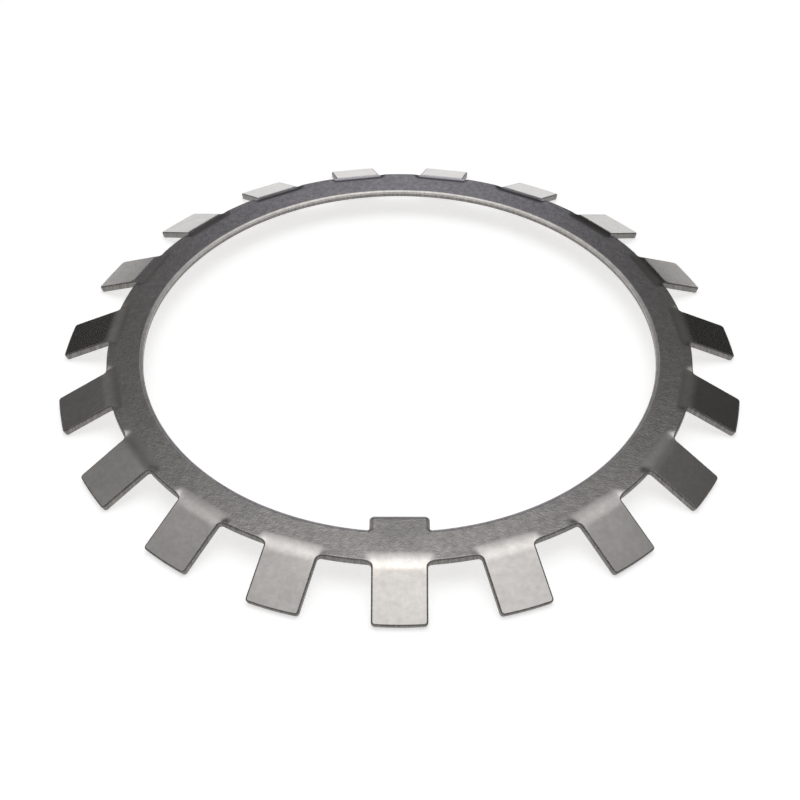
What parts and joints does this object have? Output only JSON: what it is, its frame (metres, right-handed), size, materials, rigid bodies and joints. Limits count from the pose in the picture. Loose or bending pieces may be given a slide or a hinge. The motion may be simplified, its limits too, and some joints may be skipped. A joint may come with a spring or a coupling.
{
  "type": "lock washer",
  "caption": "Flat steel ring with outer tabs pressed to one side and a square inner tongue, for locking a slotted nut to a shaft.",
  "frame": {"origin": "on the bore's axis, in the plane that the tab tips stand on", "axes": "+Z along the bore's axis from the tab tips towards the flat ring; the tongue and the first tab lie on the -Y side; +X completes the right-handed frame"},
  "size_m": [0.2, 0.1995, 0.0092],
  "materials": {
    "steel": "bare cold-rolled sheet, punched and barrel tumbled, with a dull mottled sheen"
  },
  "bodies": {
    "root": {"lock_washer": "steel"}
  },
  "joints": []
}
